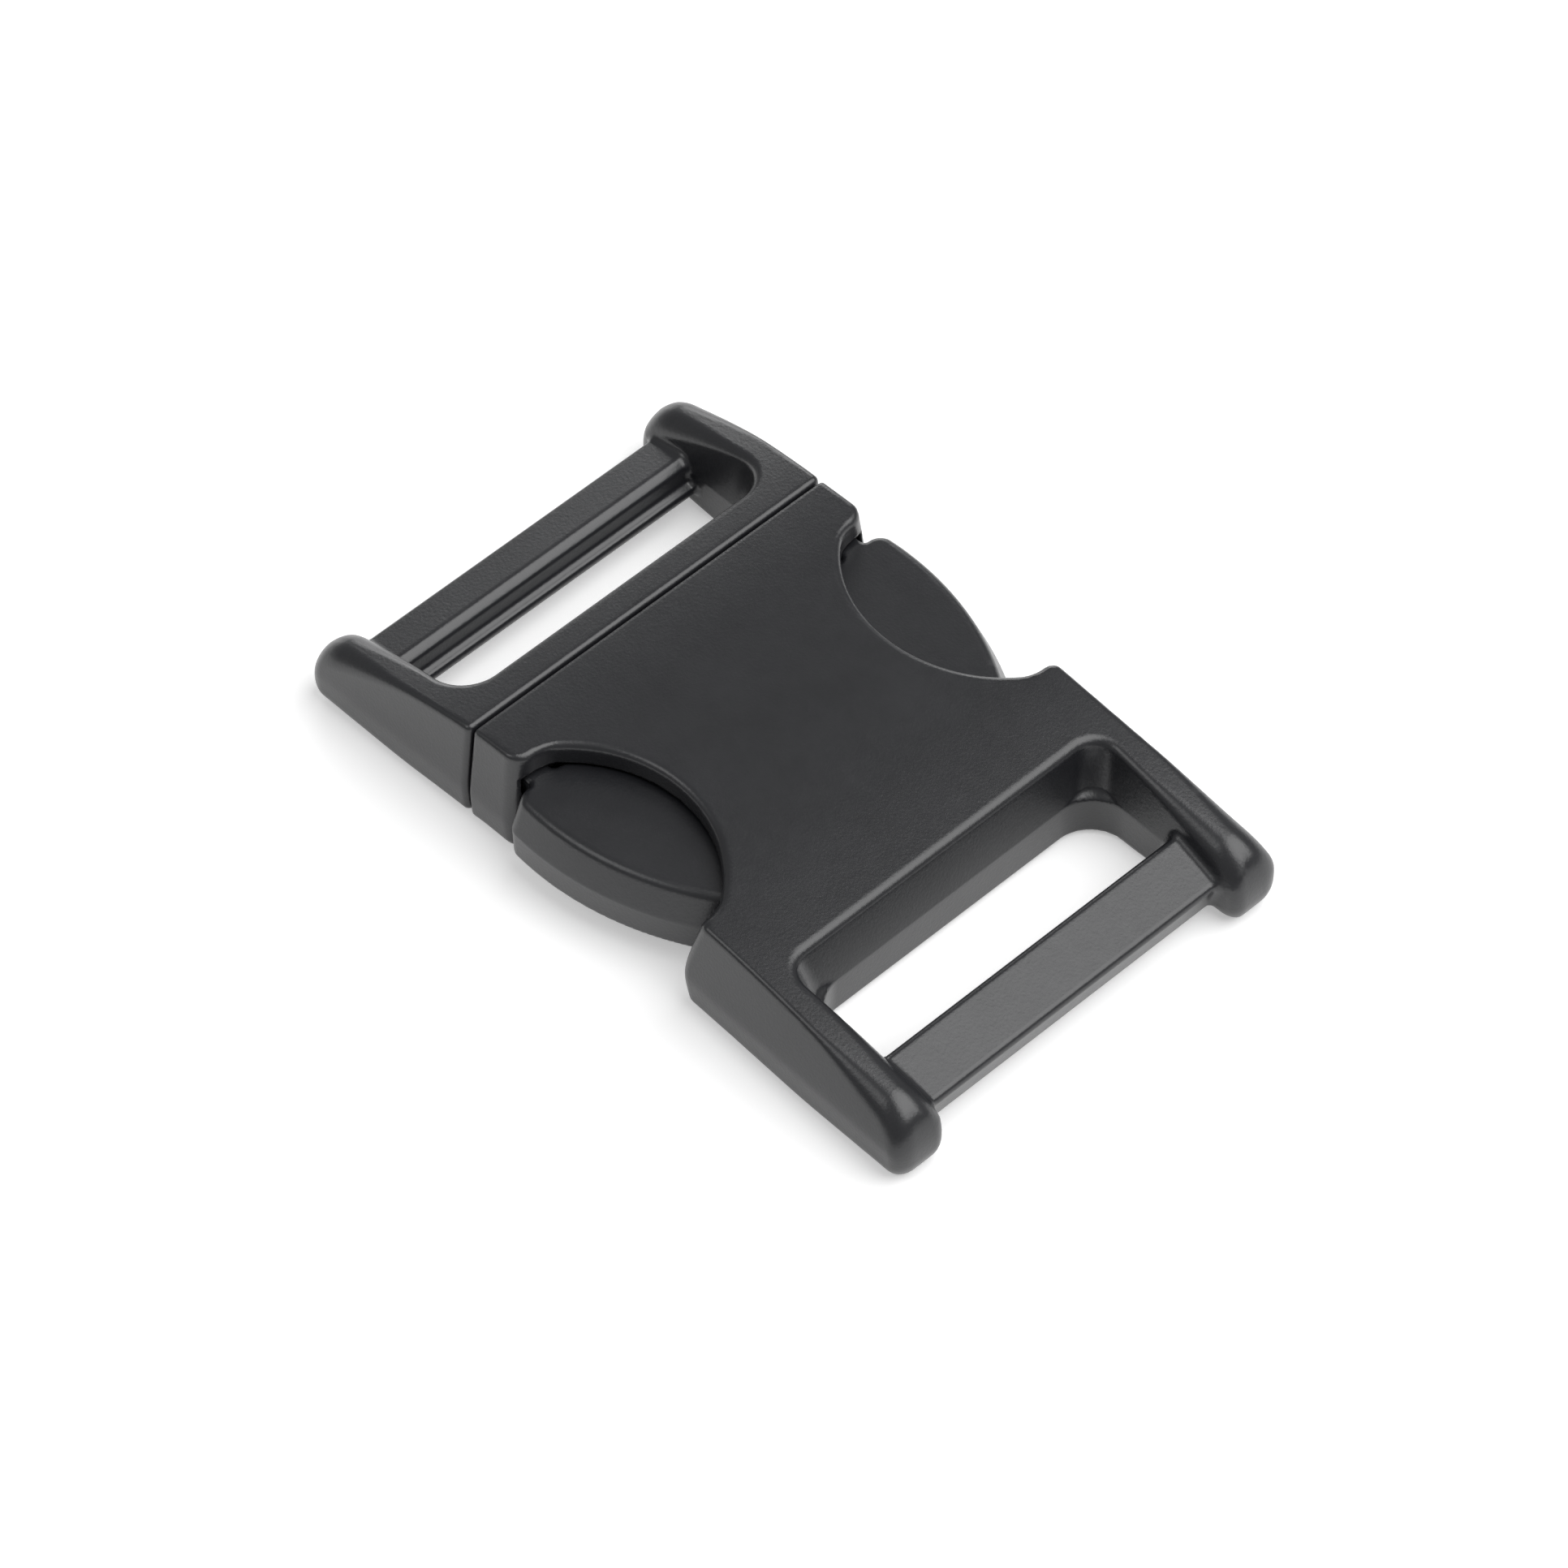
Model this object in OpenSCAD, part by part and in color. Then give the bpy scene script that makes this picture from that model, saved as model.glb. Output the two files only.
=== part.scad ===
// Contoured side-release buckle for flat webbing, closed.
//
// Two mouldings snap together: a plug with a strap bar, a centre tongue and two springing
// release arms, and a hollow socket with a strap bar at its far end. X runs from the plug to
// the socket, Y across the webbing, Z up. The origin is under the middle of the closed buckle,
// on the surface that the two ends of its arched underside stand on.

/* [Overall] */
// Width across the socket's mouth and the plug's shoulders
mouth_w = 34; // [30:0.5:42]
// How far the socket's sides stand outside its mouth's width behind the windows
socket_step = 0.45; // [0:0.05:1]
// How far each of the socket's rails widens from the windows to its end
socket_flare = 0.7; // [0.2:0.1:2]
// How far each of the plug's rails widens from the seam to its end
plug_flare = 0.5; // [0.1:0.1:2]
// Length of the plug from the seam to its rounded end
plug_len = 16.2; // [14:0.2:22]
// Length of the socket from the seam to its rounded end
socket_len = 43; // [40:0.5:54]
// Height of the arched top above the standing surface
body_h = 9.3; // [8.8:0.1:11]

/* [Arch] */
// Distance from the seam to the highest line of the top
apex_from_seam = 6; // [3:0.5:10]
// Radius of the top on the plug's side of the highest line
plug_arch_r = 62; // [50:1:120]
// Radius of the top on the socket's side of the highest line
socket_arch_r = 190; // [150:5:400]
// Rise of the arched underside above the standing surface
belly_rise = 0.85; // [0.3:0.05:1]
// Length of the flat foot under each end, beside the arched underside
foot_len = 1; // [0.5:0.1:3]
// Radius of the rails' ends seen from above, as a share of the round nose's radius
end_round = 0.72; // [0.5:0.01:0.8]
// Height of the parting line around the outside
parting_z = 3; // [2.5:0.1:4]
// How far the sides lean in from the parting line to the highest line
side_lean = 1.2; // [0.4:0.1:1.6]
// How far the sides lean in from the parting line to the standing surface
under_lean = 0.4; // [0.1:0.05:0.8]

/* [Webbing slots] */
// Clear width of both webbing slots
slot_w = 26; // [20:0.5:27]
// Radius of the slots' corners beside the seam and the housing
slot_corner_r = 3; // [1.5:0.1:3]
// Radius of the strap bars' long edges
bar_edge_r = 0.5; // [0.2:0.05:0.8]
// Width of the plug's strap bar
plug_bar_w = 3.8; // [3:0.1:4.4]
// Thickness of the plug's strap bar
plug_bar_t = 2.8; // [2:0.1:3]
// Distance from the plug's rounded end to the middle of its strap bar
plug_bar_inset = 4; // [3.4:0.1:4.8]
// Slope of the plug's strap bar, in degrees, down towards its end
plug_bar_tilt = 10; // [0:1:14]
// Width of the socket's strap bar
socket_bar_w = 4.4; // [3:0.1:4.8]
// Thickness of the socket's strap bar
socket_bar_t = 2.9; // [2:0.1:3]
// Distance from the socket's rounded end to the middle of its strap bar
socket_bar_inset = 4.2; // [3.6:0.1:5]
// Slope of the socket's strap bar, in degrees, down towards its end
socket_bar_tilt = 15; // [0:1:18]
// Height of the middle of both strap bars
bar_z = 3; // [2.6:0.1:3.4]
// Length of the solid part of the socket behind its cavity
back_wall_t = 3.7; // [2:0.1:6]

/* [Socket cavity and windows] */
// Clearance between the lobes' tips and the end of the cavity
end_clear = 1.6; // [1:0.1:4]
// Thickness of the roof between the cavity and the highest line of the top
roof_t = 1.95; // [1.5:0.05:2.2]
// Thickness of the floor between the cavity and the arched underside, where it is thinnest
floor_t = 1.2; // [0.9:0.05:1.5]
// Thickness of the two bridges beside the mouth, which the arms latch behind
bridge_t = 1.1; // [0.9:0.05:1.2]
// Length of the two bridges beside the mouth
bridge_len = 4.5; // [4:0.1:5]
// Length of the side windows
window_len = 17.3; // [16:0.1:18]
// Depth of the windows at their two ends, where their inner edge begins to curve
window_end_depth = 2.9; // [2:0.05:3.5]
// Depth of the windows at their deepest point
window_depth = 7.35; // [6:0.05:7.6]
// How far each side of the cavity narrows behind the windows
cavity_taper = 2.9; // [1.5:0.1:3.2]

/* [Plug] */
// Thickness of the plug's base between its webbing slot and the seam
base_t = 3; // [2.9:0.1:5]
// Gap at the seam between plug and socket
seam_gap = 0.2; // [0.1:0.05:0.3]
// Clearance between the centre tongue's tip and the end of the cavity
tongue_clear = 5.5; // [1:0.5:12]
// Width of the centre tongue
tongue_w = 4.8; // [4:0.1:5]
// Clearance above and below the tongue and the arms in the cavity
lid_clear = 0.2; // [0.1:0.05:0.3]

/* [Release arms] */
// How far the lobes stand proud of the mouth's width on each side
lobe_proud = 1.2; // [0.4:0.1:1.3]
// Radius of the lobes' outer faces at their parting ridge
lobe_r = 24; // [22:0.5:30]
// How far the upper half of the lobes leans in
lobe_lean = 1; // [0.2:0.1:1.2]
// How far the lower half of the lobes leans in
lobe_under_lean = 0.3; // [0.1:0.05:0.6]
// Distance from the shoulder to the widest point of a lobe
lobe_peak = 3; // [1.5:0.1:4]
// How far a lobe's tip reaches past the window's end, inside the cavity
lobe_tuck = 1.2; // [0.5:0.1:3]
// Radius of the rounded end of a lobe
lobe_tip_r = 0.9; // [0.6:0.05:1.1]
// Radius of the rounded outer corner of the shoulder
shoulder_r = 1.2; // [0.9:0.05:1.4]
// Gap between a bridge and the lobe's shoulder when closed
latch_gap = 0.5; // [0.3:0.05:0.6]
// Width of the springing shank at the arm's root
shank_t = 2; // [1.6:0.1:2.4]
// Clearance between the shank and the bridge
shank_clear = 0.3; // [0.2:0.05:0.5]
// Radius of the rounded root, which the arm turns about
root_r = 1.2; // [1:0.05:1.2]
// Running clearance around the rounded root
root_clear = 0.05; // [0.02:0.01:0.1]
// Distance from the seam back to the middle of the root
root_back = 1.65; // [1.5:0.05:1.7]

/* [Pose] */
// How far both arms are pressed in, in degrees
press = 0; // [0:0.5:16]
// How far the plug is pulled out of the socket
pull = 0; // [0:0.5:30]

/* [Hidden] */
$fn = 96;

plastic = "#2b2c2e";
bar_plastic = "#3a3b3d";

// The origin lies midway between the two rounded ends.
seam_x = (plug_len - socket_len) / 2;
plug_end_x = seam_x - plug_len;
socket_end_x = seam_x + socket_len;
apex_x = seam_x + apex_from_seam;

// A round nose that touches the standing surface, the arched top and the end of the body.
function nose_r(arch_r, reach) =
    let (k = 2 * arch_r - body_h)
    reach - k + sqrt((k - reach) * (k - reach) - reach * reach + body_h * k);
plug_nose_r = nose_r(plug_arch_r, plug_len + apex_from_seam);
socket_nose_r = nose_r(socket_arch_r, socket_len - apex_from_seam);
plug_nose_x = plug_end_x + plug_nose_r;
socket_nose_x = socket_end_x - socket_nose_r;

mouth_y = mouth_w / 2;
socket_rear_y = mouth_y + socket_step + socket_flare;
plug_rear_y = mouth_y + plug_flare;
slot_y = slot_w / 2;

// The rails begin this far behind the slots' rounded corners.
corner_land = 0.2;
base_front_x = seam_x - seam_gap;
base_back_x = base_front_x - base_t;
plug_rail_x = base_back_x - slot_corner_r - corner_land;
plug_bar_x = plug_end_x + plug_bar_inset;

window_x = seam_x + bridge_len;
window_end_x = window_x + window_len;
window_mid_x = (window_x + window_end_x) / 2;
window_bow = window_depth - window_end_depth;
window_r = (pow(window_len / 2, 2) + pow(window_bow, 2)) / (2 * window_bow);
window_mid_y = mouth_y - window_depth + window_r;
tip_x = window_end_x + lobe_tuck;
cavity_end_x = tip_x + lobe_tip_r + end_clear;
cavity_y = mouth_y - bridge_t;
cavity_end_y = cavity_y - cavity_taper;
cavity_z = belly_rise + floor_t;
cavity_h = body_h - roof_t - cavity_z;
housing_back_x = cavity_end_x + back_wall_t;
socket_rail_x = housing_back_x + slot_corner_r + corner_land;
socket_bar_x = socket_end_x - socket_bar_inset;

arm_z = cavity_z + lid_clear;
arm_h = cavity_h - 2 * lid_clear;
shoulder_x = window_x + latch_gap;
ridge_y = mouth_y + lobe_proud;
// The sides turn outwards by these angles along the rails.
socket_turn = atan(socket_flare / (socket_end_x - window_end_x));
plug_turn = atan(plug_flare / (base_front_x - plug_end_x));
lobe_x = shoulder_x + lobe_peak;
lobe_y = ridge_y - lobe_r;
shank_y = cavity_y - shank_clear;
root_x = seam_x - root_back;
root_y = shank_y - shank_t / 2;

// The arms turn this far, in degrees, before their shoulders pass inside the bridges.
press_range = 16;
// Larger than the buckle, for cutting shapes.
far = 100;
// How far a cutting shape passes the face that it cuts.
past = 1;

// ---------------------------------------------------------------- shared shapes

// One half of the arched top as a region under a circle, bounded at the apex line.
module arch_half(arch_r, side) {
    intersection() {
        translate([apex_x, body_h - arch_r]) circle(r = arch_r, $fn = 360);
        translate([side < 0 ? apex_x - far : apex_x, 0]) square([far, far]);
    }
}

// Side view of one half of the body: arch, round nose and flat underside.
module side_half(arch_r, nose, nose_x, side) {
    lean = asin(abs(nose_x - apex_x) / (arch_r - nose));
    intersection() {
        arch_half(arch_r, side);
        translate([nose_x, nose]) rotate(-side * lean)
            translate([side < 0 ? 0 : -far, -far]) square([far, 2 * far]);
    }
    intersection() {
        translate([min(nose_x, apex_x), 0]) square([abs(nose_x - apex_x), nose]);
        arch_half(arch_r, side);
    }
    translate([nose_x, nose]) circle(r = nose);
}

// Side view of the whole closed buckle, with its hollow underside.
module side_view() {
    half_span = (socket_nose_x - plug_nose_x) / 2 - foot_len;
    belly_r = (half_span * half_span + belly_rise * belly_rise) / (2 * belly_rise);
    difference() {
        union() {
            side_half(plug_arch_r, plug_nose_r, plug_nose_x, -1);
            side_half(socket_arch_r, socket_nose_r, socket_nose_x, 1);
        }
        translate([(plug_nose_x + socket_nose_x) / 2, belly_rise - belly_r])
            circle(r = belly_r, $fn = 720);
    }
}

// The arched side view as a solid across the whole width.
module arched_block() {
    translate([0, far / 2, 0]) rotate([90, 0, 0]) linear_extrude(far) side_view();
}

// All that lies inside one leaning side. Its parting line passes through (x, y) and turns
// outwards by turn degrees towards +X.
module inside_side(x, y, turn) {
    translate([x, y, 0]) rotate(turn) translate([-far / 2, 0, 0])
        rotate([90, 0, 90]) linear_extrude(far)
            polygon([[-far, -past], [-under_lean, -past], [-under_lean, 0], [0, parting_z],
                [-side_lean, body_h], [-side_lean, far], [-far, far]]);
}

module inside_sides(x, y, turn) {
    intersection() {
        inside_side(x, y, turn);
        mirror([0, 1, 0]) inside_side(x, y, turn);
    }
}

// A plan as a solid that passes the buckle's top and underside.
module upright() {
    translate([0, 0, -past]) linear_extrude(far) children();
}

module mirrored() {
    children();
    mirror([0, 1, 0]) children();
}

module mirrored_plan() {
    children();
    mirror([0, 1]) children();
}

// A straight bar of rounded section across the webbing slot.
module strap_bar(x, w, t, tilt) {
    translate([x, slot_y, bar_z]) rotate([90, 0, 0]) linear_extrude(slot_w) rotate(tilt) {
        square([w - 2 * bar_edge_r, t], center = true);
        square([w, t - 2 * bar_edge_r], center = true);
        for (sx = [-1, 1], sz = [-1, 1])
            translate([sx * (w / 2 - bar_edge_r), sz * (t / 2 - bar_edge_r)]) circle(r = bar_edge_r);
    }
}

// Plan of one rail with a rounded end, wider than the leaning side, which cuts it.
module rail_end_plan(end_x, end_y, nose) {
    plan_y = end_y + past;
    r = min(end_round * nose, (end_y - slot_y) / 2 - 0.1);
    translate([end_x - far, slot_y]) square([far - r, plan_y - slot_y]);
    translate([end_x - r - past, slot_y + r]) square([r + past, end_y - slot_y - 2 * r]);
    for (y = [slot_y + r, end_y - r]) translate([end_x - r, y]) circle(r = r);
}

// Plan of a webbing slot whose two corners at x are rounded. It opens towards +X.
module slot_plan(x) {
    translate([x + slot_corner_r, -slot_y]) square([far, slot_w]);
    translate([x, -slot_y + slot_corner_r]) square([far, slot_w - 2 * slot_corner_r]);
    for (sy = [-1, 1])
        translate([x + slot_corner_r, sy * (slot_y - slot_corner_r)]) circle(r = slot_corner_r);
}

// ---------------------------------------------------------------- socket

// The part of its child that lies in the socket's outer form, from the windows to its ends.
module in_socket_rear() {
    intersection() {
        arched_block();
        inside_sides(socket_end_x, socket_rear_y, socket_turn);
        children();
    }
}

// Plan of the socket from the middle of the windows to the beginning of its rails.
module socket_rear_plan() {
    translate([window_mid_x, -far / 2]) square([socket_rail_x - window_mid_x, far]);
}

// Plan of one side window, cut through the top and the underside alike.
module window_plan() {
    intersection() {
        translate([window_mid_x, window_mid_y]) circle(r = window_r);
        translate([window_x, 0]) square([window_len, far]);
    }
}

// Plan of the cavity: as wide as the mouth, and narrower behind the windows.
module cavity_plan() {
    mouth_x = seam_x - past;
    polygon([[mouth_x, -cavity_y], [window_end_x, -cavity_y], [cavity_end_x, -cavity_end_y],
        [cavity_end_x, cavity_end_y], [window_end_x, cavity_y], [mouth_x, cavity_y]]);
}

module socket_housing() {
    color(plastic) difference() {
        union() {
            intersection() {
                arched_block();
                inside_sides(seam_x, mouth_y, 0);
                translate([seam_x, -far / 2, -past]) cube([window_mid_x - seam_x, far, far]);
            }
            in_socket_rear() upright() socket_rear_plan();
        }
        upright() {
            slot_plan(housing_back_x);
            mirrored_plan() window_plan();
        }
        translate([0, 0, cavity_z]) linear_extrude(cavity_h) cavity_plan();
    }
}

module socket_rail() {
    color(plastic) in_socket_rear() upright() intersection() {
        rail_end_plan(socket_end_x, socket_rear_y, socket_nose_r);
        translate([socket_rail_x, 0]) square([far, far]);
    }
}

module socket_left_rail() {
    socket_rail();
}

module socket_right_rail() {
    mirror([0, 1, 0]) socket_rail();
}

module socket_strap_bar() {
    color(bar_plastic) strap_bar(socket_bar_x, socket_bar_w, socket_bar_t, -socket_bar_tilt);
}

// ---------------------------------------------------------------- plug

module plug_pose() {
    translate([-pull, 0, 0]) children();
}

// The part of its child that lies in the plug's outer form, from the seam to its ends.
module in_plug_outer() {
    intersection() {
        arched_block();
        inside_sides(base_front_x, mouth_y, -plug_turn);
        children();
    }
}

// The root of each arm sits in a round recess that opens towards the socket, with room for
// the shank to swing inwards.
module root_recess() {
    channel_w = shank_t + 4 * root_clear;
    translate([root_x, root_y, cavity_z]) {
        cylinder(r = root_r + root_clear, h = cavity_h);
        for (swing = [0, press_range]) rotate(-swing)
            translate([0, -channel_w / 2, 0]) cube([root_back + past, channel_w, cavity_h]);
    }
}

module plug_base() {
    color(plastic) plug_pose() difference() {
        in_plug_outer() upright() difference() {
            translate([plug_rail_x, -far / 2]) square([base_front_x - plug_rail_x, far]);
            mirror([1, 0]) slot_plan(-base_back_x);
        }
        mirrored() root_recess();
    }
}

module plug_rail() {
    color(plastic) plug_pose() in_plug_outer() upright() intersection() {
        mirror([1, 0]) rail_end_plan(-plug_end_x, plug_rear_y, plug_nose_r);
        translate([plug_rail_x - far, 0]) square([far, far]);
    }
}

module plug_left_rail() {
    plug_rail();
}

module plug_right_rail() {
    mirror([0, 1, 0]) plug_rail();
}

module plug_strap_bar() {
    color(bar_plastic) plug_pose() strap_bar(plug_bar_x, plug_bar_w, plug_bar_t, plug_bar_tilt);
}

// The tongue keeps the plug straight in the cavity. Its tip is rounded in plan.
module guide_tongue() {
    tip_r = tongue_w / 2;
    tip_mid_x = cavity_end_x - tongue_clear - tip_r;
    color(plastic) plug_pose() translate([0, 0, arm_z]) linear_extrude(arm_h) {
        translate([base_front_x, -tip_r]) square([tip_mid_x - base_front_x, tongue_w]);
        translate([tip_mid_x, 0]) circle(r = tip_r);
    }
}

// ---------------------------------------------------------------- release arms

// Outer faces of a lobe: two cones that meet at the parting ridge.
module lobe_cones() {
    half_h = arm_h / 2;
    translate([lobe_x, lobe_y, arm_z]) {
        cylinder(r1 = lobe_r - lobe_under_lean, r2 = lobe_r, h = half_h, $fn = 180);
        translate([0, 0, half_h])
            cylinder(r1 = lobe_r, r2 = lobe_r - lobe_lean, h = half_h, $fn = 180);
    }
}

// Plan of the lobe: a flat shoulder towards the bridge, and an inner side that follows the
// window's edge and leaves room for the tongue when the arm is pressed.
module lobe_plan() {
    inner_y = window_mid_y - window_r;
    tip_y = lobe_y + sqrt(pow(lobe_r - lobe_lean, 2) - pow(tip_x - lobe_x, 2)) - lobe_tip_r;
    polygon([[shoulder_x, shank_y - shank_t], [(shoulder_x + window_mid_x) / 2, inner_y + 1.1],
        [window_mid_x + 3, inner_y], [tip_x, tip_y - lobe_tip_r], [tip_x, tip_y],
        [tip_x, far], [shoulder_x + shoulder_r, far],
        [shoulder_x + shoulder_r, ridge_y - shoulder_r], [shoulder_x, ridge_y - shoulder_r]]);
    translate([tip_x, tip_y]) circle(r = lobe_tip_r);
    translate([shoulder_x + shoulder_r, ridge_y - shoulder_r]) circle(r = shoulder_r);
}

module release_arm() {
    intersection() {
        lobe_cones();
        translate([0, 0, arm_z]) linear_extrude(arm_h) lobe_plan();
    }
    translate([0, 0, arm_z]) linear_extrude(arm_h) {
        translate([root_x, root_y - shank_t / 2]) square([shoulder_x - root_x + past, shank_t]);
        translate([root_x, root_y]) circle(r = root_r);
    }
}

module left_release_arm() {
    color(plastic) plug_pose() translate([root_x, root_y, 0]) rotate(-press)
        translate([-root_x, -root_y, 0]) release_arm();
}

module right_release_arm() {
    mirror([0, 1, 0]) left_release_arm();
}

socket_housing();
socket_left_rail();
socket_right_rail();
socket_strap_bar();
plug_base();
plug_left_rail();
plug_right_rail();
plug_strap_bar();
guide_tongue();
left_release_arm();
right_release_arm();
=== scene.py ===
import math

import bpy
import numpy as np
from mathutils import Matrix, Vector


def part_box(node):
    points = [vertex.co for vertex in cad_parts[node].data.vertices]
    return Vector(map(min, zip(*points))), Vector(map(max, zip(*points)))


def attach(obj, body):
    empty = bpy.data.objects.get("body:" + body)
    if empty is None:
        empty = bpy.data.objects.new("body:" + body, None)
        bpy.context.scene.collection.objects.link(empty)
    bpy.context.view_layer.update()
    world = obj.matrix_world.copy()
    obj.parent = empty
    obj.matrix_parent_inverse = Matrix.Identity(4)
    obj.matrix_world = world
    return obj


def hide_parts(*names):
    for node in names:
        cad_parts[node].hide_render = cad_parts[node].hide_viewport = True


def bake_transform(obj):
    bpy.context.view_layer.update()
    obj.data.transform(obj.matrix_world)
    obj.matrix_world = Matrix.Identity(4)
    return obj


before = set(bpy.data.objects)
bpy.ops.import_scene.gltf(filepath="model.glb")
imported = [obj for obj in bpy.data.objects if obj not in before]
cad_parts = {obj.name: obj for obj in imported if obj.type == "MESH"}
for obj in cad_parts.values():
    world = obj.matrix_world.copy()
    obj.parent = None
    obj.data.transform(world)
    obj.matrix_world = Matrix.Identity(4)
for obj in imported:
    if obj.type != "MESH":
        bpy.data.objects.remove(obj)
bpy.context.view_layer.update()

MM = 1000.0


def node_box(name):
    """Lowest and highest corner of a CAD node, in millimetres."""
    return [MM * np.array(corner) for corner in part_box(name)]


# ------------------------------------------------------------------ sizes from the CAD model

housing_lo, housing_hi = node_box("socket_housing")
socket_rail_lo, socket_rail_hi = node_box("socket_left_rail")
plug_rail_lo, plug_rail_hi = node_box("plug_left_rail")
arm_lo, arm_hi = node_box("left_release_arm")
tongue_lo, tongue_hi = node_box("guide_tongue")
socket_bar_lo, socket_bar_hi = node_box("socket_strap_bar")
plug_bar_lo, plug_bar_hi = node_box("plug_strap_bar")

body_h = housing_hi[2]
seam_x = housing_lo[0]
socket_end = socket_rail_hi[0]
plug_end = plug_rail_lo[0]
base_front = node_box("plug_base")[1][0]
slot_y = socket_rail_lo[1]
ridge_y = arm_hi[1]

# ------------------------------------------------------------------ sizes, in millimetres

LOBE_PROUD = 1.2  # the lobes' ridges outside the mouth's width
mouth_y = ridge_y - LOBE_PROUD

APEX_FROM_SEAM = 6.0  # the top is highest here
PLUG_ARCH_R = 62.0
SOCKET_ARCH_R = 190.0
BELLY_RISE = 0.55  # the underside is hollowed by this much at mid length
BELLY_HALF = 25.5  # and comes down to z = 0 this far from there
apex_x = seam_x + APEX_FROM_SEAM

PARTING_Z = 3.0
PARTING_SOFT = 0.6  # the parting edge is rolled over this length
LOWER_LEAN = 0.08  # how far the sides lean in for each millimetre below the parting line
SOCKET_STEP = 0.45  # the socket's sides behind the windows, outside the mouth's
SOCKET_FLARE = socket_rail_hi[1] - mouth_y - SOCKET_STEP
PLUG_FLARE = plug_rail_hi[1] - mouth_y

EDGE_AT_END_R = 1.5  # the rails' long edges soften to this at their ends
OVERSHOOT = 0.29  # share of that radius by which the rounding would shorten an end
END_ZONE = 11.0  # the softening begins this far from an end
END_FADE = 10.0  # and is complete after this length
LOWER_Z = 1.5  # edges have their lower radius up to this height
LOWER_FADE = 2.0  # and their upper radius this much higher
LOWER_EDGE_R = 0.3  # the slots' and windows' edges at the underside

SLOT_CORNER_R = 3.0
SLOT_LAND = 0.2
SLOT_CREASE_Z = 3.7  # a slot's walls change their draft here
SLOT_CORNER_FADE = 0.6  # the corners' radius changes over this height above the crease
SLOT_UNDER_DRAFT = 0.03
SLOT_MEAN_Z = 5.0  # the drafted front walls cross the CAD's upright ones at this height
SLOT_EXTRA = 0.5  # the slots are this much wider at each end than the CAD's
BASE_T = 3.0
base_back = base_front - BASE_T
housing_back = socket_rail_lo[0] - SLOT_CORNER_R - SLOT_LAND

WINDOW_LEN = 17.3
WINDOW_END_DEPTH = 2.9
WINDOW_DEPTH = 7.35
BRIDGE_LEN = 4.5
BRIDGE_T = 1.1
window_x = seam_x + BRIDGE_LEN
window_end = window_x + WINDOW_LEN
window_mid = (window_x + window_end) / 2
window_bow = WINDOW_DEPTH - WINDOW_END_DEPTH
window_r = ((WINDOW_LEN / 2) ** 2 + window_bow**2) / (2 * window_bow)
window_y = mouth_y - WINDOW_DEPTH + window_r
SHOULDER_SET = -0.4  # the shoulder's face at the height SHOULDER_Z, from the window's end
SHOULDER_LEAN = 0.25
SHOULDER_UNDER_LEAN = 0.25
SHOULDER_SOFT = 1.5
SHOULDER_Z = 3.4

LID_CLEAR = 0.2
CAVITY_TAPER = 2.9
TIP_CLEAR = 1.6
cavity_y = mouth_y - BRIDGE_T
cavity_lo = arm_lo[2] - LID_CLEAR
cavity_hi = arm_hi[2] + LID_CLEAR
cavity_end = arm_hi[0] + TIP_CLEAR

LATCH_GAP = 0.5
LOBE_R = 24.0
LOBE_PEAK = 3.0
LOBE_LEAN = 1.0
LOBE_UNDER_LEAN = 0.1
TIP_R = 0.9
SHANK_T = 2.0
SHANK_CLEAR = 0.3
shoulder_x = window_x + LATCH_GAP
lobe_x = shoulder_x + LOBE_PEAK
lobe_y = ridge_y - LOBE_R
shank_y = cavity_y - SHANK_CLEAR - SHANK_T / 2

BAR_EDGE_R = 0.5
BAR_SOCKET = 0.7  # how deep a bar's end runs into the rail


# ------------------------------------------------------------------ distance tools


def smooth(t):
    t = np.clip(t, 0, 1)
    return t * t * (3 - 2 * t)


def between(a, b, share):
    """A value that goes from a to b as share goes from 0 to 1."""
    return a + (b - a) * share


def both(a, b, r):
    """Inside a and b, with a rounded edge of radius r where they meet."""
    return np.minimum(-r, np.maximum(a, b)) + np.hypot(
        np.maximum(r + a, 0), np.maximum(r + b, 0)
    )


def either(a, b, r):
    """Inside a or b, with a hollow fillet of radius r where they meet."""
    return np.maximum(r, np.minimum(a, b)) - np.hypot(
        np.maximum(r - a, 0), np.maximum(r - b, 0)
    )


def shared(pairs, reach=0.35):
    """An edge radius from (distance, radius) pairs of walls: that of the nearest wall, turning
    smoothly into its neighbour's."""
    weights = [np.exp(np.clip(d / reach, -40, 4)) for d, _ in pairs]
    total = sum(weights)
    return sum(w * r for w, (_, r) in zip(weights, pairs)) / total


def half_plane(x, y, p, q):
    """Distance to the right of the line from p to q."""
    dx, dy = q[0] - p[0], q[1] - p[1]
    return ((x - p[0]) * dy - (y - p[1]) * dx) / math.hypot(dx, dy)


# ------------------------------------------------------------------ shared outer form


def arched_top(x, z):
    r = np.where(x < apex_x, PLUG_ARCH_R, SOCKET_ARCH_R)
    return np.hypot(x - apex_x, z - (body_h - r)) - r


def underside(x, z):
    belly_r = (BELLY_HALF**2 + BELLY_RISE**2) / (2 * BELLY_RISE)
    return np.maximum(-z, belly_r - np.hypot(x, z - (BELLY_RISE - belly_r)))


def side_view(x, z, end, upper_r, under_r):
    """The body seen from the side, rounded into its end above and below."""
    top = both(arched_top(x, z), end, upper_r)
    return np.maximum(top, both(underside(x, z), end, under_r))


def lower_share(z):
    """1 near the underside and 0 in the upper part."""
    return 1 - smooth((z - LOWER_Z) / LOWER_FADE)


def fold(height, above, below, soft):
    """How far a wall leans back at a height over its parting line, by its slopes above and
    below that line. The turn between them is rolled over the length soft."""
    return np.where(height > 0, above, below) * (np.hypot(height, soft) - soft)


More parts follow.
